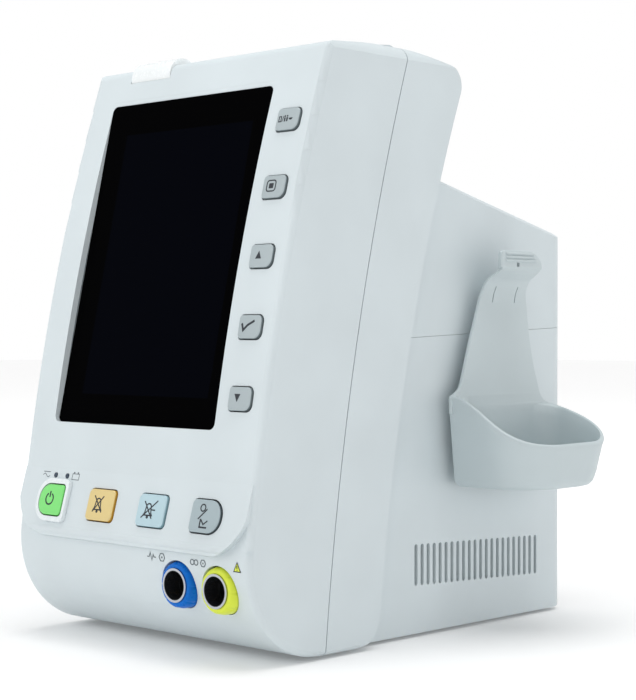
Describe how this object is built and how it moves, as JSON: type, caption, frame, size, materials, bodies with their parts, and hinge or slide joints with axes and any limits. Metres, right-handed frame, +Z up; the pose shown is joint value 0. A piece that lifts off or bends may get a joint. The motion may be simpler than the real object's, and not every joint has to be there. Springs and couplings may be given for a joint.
{
  "type": "patient monitor",
  "caption": "Portable bedside patient monitor with a leaning bowed front, tall screen, side and lower key rows, two sensor sockets and a clip-on side basket.",
  "frame": {"origin": "middle of the case's footprint, on the plane the feet stand on", "axes": "+Z up, the screen faces -Y, +X is the side that carries the basket (the right-hand side seen from the front)"},
  "size_m": [0.1925, 0.2319, 0.2585],
  "materials": {
    "shell_white": "fine moulded texture",
    "basket_grey": "fine moulded texture",
    "screen_black": "polished dark window",
    "lcd_dark": "switched-off panel",
    "steel_sheet": "plated sheet",
    "lens_clear": "milky translucent lens",
    "board_green": "solder resist",
    "key_grey": "satin silver grey",
    "key_slate": "satin grey",
    "surround_white": "smooth",
    "key_green": "satin",
    "key_amber": "satin",
    "key_blue": "satin",
    "indicator_dark": "unlit light pipe",
    "collar_blue": "smooth",
    "collar_yellow": "smooth",
    "socket_chrome": "polished plating",
    "insert_black": "insulator with gilt pins",
    "module_grey": "cast housing",
    "battery_wrap": "shrink wrap",
    "tray_grey": "moulded",
    "speaker_black": "coated cone",
    "inlet_black": "moulded",
    "post_metal": "plated",
    "foot_rubber": "soft moulded"
  },
  "bodies": {
    "case": {"front_housing": "shell_white", "band_housing": "shell_white", "lower_cover": "shell_white", "upper_cover": "shell_white", "screen_window": "screen_black", "lcd_panel": "lcd_dark", "lcd_frame": "steel_sheet", "alarm_lens": "lens_clear", "alarm_board": "board_green", "side_key_board": "board_green", "power_surround": "surround_white", "strip_key_board": "board_green", "mains_indicator": "indicator_dark", "battery_indicator": "indicator_dark", "blue_collar": "collar_blue", "blue_socket": "socket_chrome", "blue_insert": "insert_black", "yellow_collar": "collar_yellow", "yellow_socket": "socket_chrome", "yellow_insert": "insert_black", "sensor_board": "board_green", "gas_module": "module_grey", "chassis_plate": "steel_sheet", "main_board": "board_green", "power_supply": "board_green", "battery_pack": "battery_wrap", "battery_tray": "tray_grey", "speaker": "speaker_black", "mains_inlet": "inlet_black", "ground_post": "post_metal", "data_port": "inlet_black", "rear_screws": "post_metal", "feet": "foot_rubber", "basket_bracket": "basket_grey", "bracket_screws": "post_metal"},
    "key_down": {"key_down": "key_grey"},
    "key_select": {"key_select": "key_grey"},
    "key_up": {"key_up": "key_grey"},
    "key_menu": {"key_menu": "key_grey"},
    "key_standby": {"key_standby": "key_grey"},
    "power_key": {"power_key": "key_green"},
    "alarm_pause_key": {"alarm_pause_key": "key_amber"},
    "audio_off_key": {"audio_off_key": "key_blue"},
    "record_key": {"record_key": "key_slate"},
    "basket": {"basket": "basket_grey"},
    "battery_door": {"battery_door": "shell_white"}
  },
  "joints": [
    {"name": "key_down_press", "type": "slide", "parent": "case", "child": "key_down", "axis": [0, 0.984, -0.1781], "range_m": [0, 0.0008], "stiffness_N_per_m": 900, "springref_m": -0.0006},
    {"name": "key_select_press", "type": "slide", "parent": "case", "child": "key_select", "axis": [0, 0.9785, -0.2062], "range_m": [0, 0.0008], "stiffness_N_per_m": 900, "springref_m": -0.0006},
    {"name": "key_up_press", "type": "slide", "parent": "case", "child": "key_up", "axis": [0, 0.9722, -0.2341], "range_m": [0, 0.0008], "stiffness_N_per_m": 900, "springref_m": -0.0006},
    {"name": "key_menu_press", "type": "slide", "parent": "case", "child": "key_menu", "axis": [0, 0.9651, -0.2619], "range_m": [0, 0.0008], "stiffness_N_per_m": 900, "springref_m": -0.0006},
    {"name": "key_standby_press", "type": "slide", "parent": "case", "child": "key_standby", "axis": [0, 0.9572, -0.2894], "range_m": [0, 0.0008], "stiffness_N_per_m": 900, "springref_m": -0.0006},
    {"name": "power_key_press", "type": "slide", "parent": "case", "child": "power_key", "axis": [0, 0.9617, -0.274], "range_m": [0, 0.0008], "stiffness_N_per_m": 900, "springref_m": -0.0006},
    {"name": "alarm_pause_key_press", "type": "slide", "parent": "case", "child": "alarm_pause_key", "axis": [0, 0.9617, -0.274], "range_m": [0, 0.0008], "stiffness_N_per_m": 900, "springref_m": -0.0006},
    {"name": "audio_off_key_press", "type": "slide", "parent": "case", "child": "audio_off_key", "axis": [0, 0.9617, -0.274], "range_m": [0, 0.0008], "stiffness_N_per_m": 900, "springref_m": -0.0006},
    {"name": "record_key_press", "type": "slide", "parent": "case", "child": "record_key", "axis": [0, 0.9617, -0.274], "range_m": [0, 0.0008], "stiffness_N_per_m": 900, "springref_m": -0.0006},
    {"name": "basket_lift", "type": "slide", "parent": "case", "child": "basket", "axis": [0, 0, 1], "range_m": [0, 0.03]},
    {"name": "battery_door_hinge", "type": "hinge", "parent": "case", "child": "battery_door", "pos_m": [-0.042, 0.1095, 0.088], "axis": [0, 0, 1], "range_deg": [0, 100]}
  ]
}
